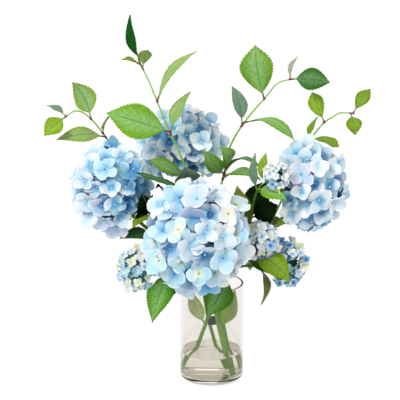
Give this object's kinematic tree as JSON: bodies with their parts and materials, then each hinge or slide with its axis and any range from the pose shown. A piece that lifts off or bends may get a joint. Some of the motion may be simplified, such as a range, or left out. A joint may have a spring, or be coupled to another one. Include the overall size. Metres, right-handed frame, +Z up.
{
  "type": "hydrangeas in a glass vase",
  "caption": "Blue hydrangea mopheads, young flower clusters and leafy twigs with toothed leaves, standing in water in a clear glass cylinder vase.",
  "frame": {"origin": "centre of the vase's flat underside", "axes": "+Z up the vase's axis, -Y towards the viewer of the bouquet's front, +X to that viewer's right"},
  "size_m": [0.5016, 0.3003, 0.582],
  "materials": {
    "petals_front": "soft matt petals, near white to pale blue, creamy at the eye",
    "petals_side": "soft matt petals, pale to mid blue with some lavender",
    "young_petals": "soft matt small florets, cream, white and pale blue",
    "stems_front": "waxy, bright green leaves with paler undersides",
    "stems_left": "waxy, bright green leaves with paler undersides",
    "stems_back": "waxy, mid green leaves with paler undersides",
    "stems_right": "waxy, mid to dark green leaves with paler undersides",
    "glass": "clear polished glass",
    "water": "clear still water"
  },
  "bodies": {
    "root": {"stems_front": "stems_front", "bloom_front": "petals_front", "buds_front": "young_petals", "stems_left": "stems_left", "bloom_left": "petals_side", "buds_left": "young_petals", "stems_back": "stems_back", "bloom_back": "petals_side", "buds_back": "young_petals", "stems_right": "stems_right", "bloom_right": "petals_side", "buds_right": "young_petals", "vase": "glass", "water": "water"}
  },
  "joints": []
}
